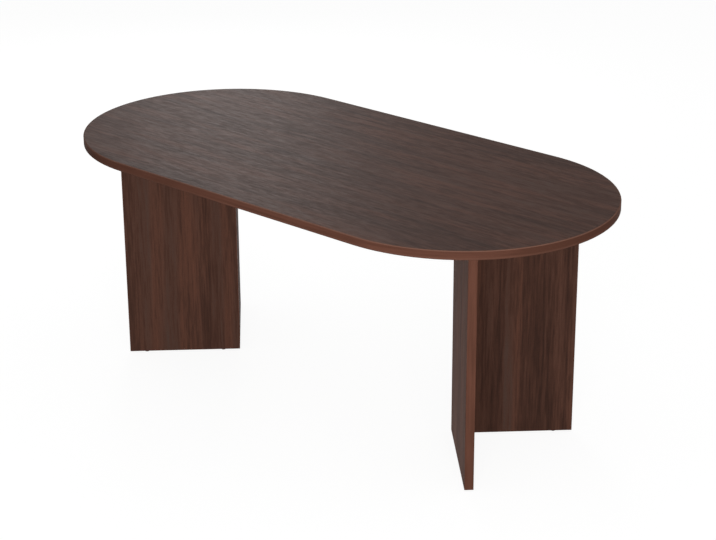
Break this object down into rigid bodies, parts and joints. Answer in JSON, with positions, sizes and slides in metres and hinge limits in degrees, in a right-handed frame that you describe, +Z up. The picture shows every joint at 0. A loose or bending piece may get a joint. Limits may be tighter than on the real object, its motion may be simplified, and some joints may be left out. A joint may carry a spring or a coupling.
{
  "type": "racetrack table",
  "caption": "Table with a long top whose ends are half-round, on two upright V-shaped panel bases that open towards its ends, with levelling glides.",
  "frame": {"origin": "on the floor, under the middle of the top", "axes": "+X along the table's long side, +Y across it towards the back, +Z up"},
  "size_m": [1.8026, 0.889, 0.737],
  "materials": {
    "top_laminate": "satin walnut-pattern laminate with a fine grain along the table",
    "leg_laminate": "satin walnut-pattern laminate with upright grain",
    "edge_band": "walnut-coloured edge band, rounded corners",
    "backer_sheet": "plain brown backing sheet",
    "raw_board": "raw particle board",
    "beech": "turned beech",
    "zinc_steel": "bright zinc plate",
    "cam_zinc": "die-cast zinc, matte",
    "black_nylon": "moulded black nylon"
  },
  "bodies": {
    "table": {"top_core": "raw_board", "top_sheet": "top_laminate", "top_backer": "backer_sheet", "top_rim_band": "edge_band", "left_front_leg_core": "raw_board", "left_front_leg_outer_sheet": "leg_laminate", "left_front_leg_inner_sheet": "leg_laminate", "left_front_leg_tip_band": "edge_band", "left_front_leg_foot_band": "edge_band", "left_front_leg_brackets": "zinc_steel", "left_front_leg_corner_band": "edge_band", "left_back_leg_core": "raw_board", "left_back_leg_outer_sheet": "leg_laminate", "left_back_leg_inner_sheet": "leg_laminate", "left_back_leg_tip_band": "edge_band", "left_back_leg_foot_band": "edge_band", "left_back_leg_brackets": "zinc_steel", "right_front_leg_core": "raw_board", "right_front_leg_outer_sheet": "leg_laminate", "right_front_leg_inner_sheet": "leg_laminate", "right_front_leg_tip_band": "edge_band", "right_front_leg_foot_band": "edge_band", "right_front_leg_brackets": "zinc_steel", "right_back_leg_core": "raw_board", "right_back_leg_outer_sheet": "leg_laminate", "right_back_leg_inner_sheet": "leg_laminate", "right_back_leg_tip_band": "edge_band", "right_back_leg_foot_band": "edge_band", "right_back_leg_brackets": "zinc_steel", "right_back_leg_corner_band": "edge_band", "cam_bolts": "zinc_steel", "dowels": "beech", "bracket_screws": "zinc_steel", "glide_inserts": "zinc_steel"},
    "left_cam_low": {"left_cam_low": "cam_zinc"},
    "left_cam_middle": {"left_cam_middle": "cam_zinc"},
    "left_cam_high": {"left_cam_high": "cam_zinc"},
    "right_cam_low": {"right_cam_low": "cam_zinc"},
    "right_cam_middle": {"right_cam_middle": "cam_zinc"},
    "right_cam_high": {"right_cam_high": "cam_zinc"},
    "left_front_tip_glide_pad": {"left_front_tip_glide_pad": "black_nylon"},
    "left_front_tip_glide_stem": {"left_front_tip_glide_stem": "zinc_steel"},
    "left_front_corner_glide_pad": {"left_front_corner_glide_pad": "black_nylon"},
    "left_front_corner_glide_stem": {"left_front_corner_glide_stem": "zinc_steel"},
    "left_back_tip_glide_pad": {"left_back_tip_glide_pad": "black_nylon"},
    "left_back_tip_glide_stem": {"left_back_tip_glide_stem": "zinc_steel"},
    "left_back_corner_glide_pad": {"left_back_corner_glide_pad": "black_nylon"},
    "left_back_corner_glide_stem": {"left_back_corner_glide_stem": "zinc_steel"},
    "right_front_tip_glide_pad": {"right_front_tip_glide_pad": "black_nylon"},
    "right_front_tip_glide_stem": {"right_front_tip_glide_stem": "zinc_steel"},
    "right_front_corner_glide_pad": {"right_front_corner_glide_pad": "black_nylon"},
    "right_front_corner_glide_stem": {"right_front_corner_glide_stem": "zinc_steel"},
    "right_back_tip_glide_pad": {"right_back_tip_glide_pad": "black_nylon"},
    "right_back_tip_glide_stem": {"right_back_tip_glide_stem": "zinc_steel"},
    "right_back_corner_glide_pad": {"right_back_corner_glide_pad": "black_nylon"},
    "right_back_corner_glide_stem": {"right_back_corner_glide_stem": "zinc_steel"}
  },
  "joints": [
    {"name": "left_cam_low_turn", "type": "hinge", "parent": "table", "child": "left_cam_low", "pos_m": [-0.49775, 0.02425, 0.082], "axis": [-0.7071, -0.7071, 0], "range_deg": [0, 180]},
    {"name": "left_cam_middle_turn", "type": "hinge", "parent": "table", "child": "left_cam_middle", "pos_m": [-0.49775, 0.02425, 0.3583], "axis": [-0.7071, -0.7071, 0], "range_deg": [0, 180]},
    {"name": "left_cam_high_turn", "type": "hinge", "parent": "table", "child": "left_cam_high", "pos_m": [-0.49775, 0.02425, 0.6346], "axis": [-0.7071, -0.7071, 0], "range_deg": [0, 180]},
    {"name": "right_cam_low_turn", "type": "hinge", "parent": "table", "child": "right_cam_low", "pos_m": [0.49775, -0.02425, 0.082], "axis": [0.7071, 0.7071, 0], "range_deg": [0, 180]},
    {"name": "right_cam_middle_turn", "type": "hinge", "parent": "table", "child": "right_cam_middle", "pos_m": [0.49775, -0.02425, 0.3583], "axis": [0.7071, 0.7071, 0], "range_deg": [0, 180]},
    {"name": "right_cam_high_turn", "type": "hinge", "parent": "table", "child": "right_cam_high", "pos_m": [0.49775, -0.02425, 0.6346], "axis": [0.7071, 0.7071, 0], "range_deg": [0, 180]},
    {"name": "left_front_tip_glide_travel", "type": "slide", "parent": "table", "child": "left_front_tip_glide_pad", "axis": [0, 0, -1], "range_m": [0, 0.01]},
    {"name": "left_front_tip_glide_turn", "type": "hinge", "parent": "left_front_tip_glide_pad", "child": "left_front_tip_glide_stem", "pos_m": [-0.65699, -0.20103, 0.005], "axis": [0, 0, -1], "range_deg": [0, 2880]},
    {"name": "left_front_corner_glide_travel", "type": "slide", "parent": "table", "child": "left_front_corner_glide_pad", "axis": [0, 0, -1], "range_m": [0, 0.01]},
    {"name": "left_front_corner_glide_turn", "type": "hinge", "parent": "left_front_corner_glide_pad", "child": "left_front_corner_glide_stem", "pos_m": [-0.48446, -0.0285, 0.005], "axis": [0, 0, -1], "range_deg": [0, 2880]},
    {"name": "left_back_tip_glide_travel", "type": "slide", "parent": "table", "child": "left_back_tip_glide_pad", "axis": [0, 0, -1], "range_m": [0, 0.01]},
    {"name": "left_back_tip_glide_turn", "type": "hinge", "parent": "left_back_tip_glide_pad", "child": "left_back_tip_glide_stem", "pos_m": [-0.67495, 0.21899, 0.005], "axis": [0, 0, -1], "range_deg": [0, 2880]},
    {"name": "left_back_corner_glide_travel", "type": "slide", "parent": "table", "child": "left_back_corner_glide_pad", "axis": [0, 0, -1], "range_m": [0, 0.01]},
    {"name": "left_back_corner_glide_turn", "type": "hinge", "parent": "left_back_corner_glide_pad", "child": "left_back_corner_glide_stem", "pos_m": [-0.50242, 0.04646, 0.005], "axis": [0, 0, -1], "range_deg": [0, 2880]},
    {"name": "right_front_tip_glide_travel", "type": "slide", "parent": "table", "child": "right_front_tip_glide_pad", "axis": [0, 0, -1], "range_m": [0, 0.01]},
    {"name": "right_front_tip_glide_turn", "type": "hinge", "parent": "right_front_tip_glide_pad", "child": "right_front_tip_glide_stem", "pos_m": [0.67495, -0.21899, 0.005], "axis": [0, 0, -1], "range_deg": [0, 2880]},
    {"name": "right_front_corner_glide_travel", "type": "slide", "parent": "table", "child": "right_front_corner_glide_pad", "axis": [0, 0, -1], "range_m": [0, 0.01]},
    {"name": "right_front_corner_glide_turn", "type": "hinge", "parent": "right_front_corner_glide_pad", "child": "right_front_corner_glide_stem", "pos_m": [0.50242, -0.04646, 0.005], "axis": [0, 0, -1], "range_deg": [0, 2880]},
    {"name": "right_back_tip_glide_travel", "type": "slide", "parent": "table", "child": "right_back_tip_glide_pad", "axis": [0, 0, -1], "range_m": [0, 0.01]},
    {"name": "right_back_tip_glide_turn", "type": "hinge", "parent": "right_back_tip_glide_pad", "child": "right_back_tip_glide_stem", "pos_m": [0.65699, 0.20103, 0.005], "axis": [0, 0, -1], "range_deg": [0, 2880]},
    {"name": "right_back_corner_glide_travel", "type": "slide", "parent": "table", "child": "right_back_corner_glide_pad", "axis": [0, 0, -1], "range_m": [0, 0.01]},
    {"name": "right_back_corner_glide_turn", "type": "hinge", "parent": "right_back_corner_glide_pad", "child": "right_back_corner_glide_stem", "pos_m": [0.48446, 0.0285, 0.005], "axis": [0, 0, -1], "range_deg": [0, 2880]}
  ],
  "couplings": [
    {"joint": "left_front_tip_glide_turn", "follows": "left_front_tip_glide_travel", "rad_per_m": 5026.5},
    {"joint": "left_front_corner_glide_turn", "follows": "left_front_corner_glide_travel", "rad_per_m": 5026.5},
    {"joint": "left_back_tip_glide_turn", "follows": "left_back_tip_glide_travel", "rad_per_m": 5026.5},
    {"joint": "left_back_corner_glide_turn", "follows": "left_back_corner_glide_travel", "rad_per_m": 5026.5},
    {"joint": "right_front_tip_glide_turn", "follows": "right_front_tip_glide_travel", "rad_per_m": 5026.5},
    {"joint": "right_front_corner_glide_turn", "follows": "right_front_corner_glide_travel", "rad_per_m": 5026.5},
    {"joint": "right_back_tip_glide_turn", "follows": "right_back_tip_glide_travel", "rad_per_m": 5026.5},
    {"joint": "right_back_corner_glide_turn", "follows": "right_back_corner_glide_travel", "rad_per_m": 5026.5}
  ]
}
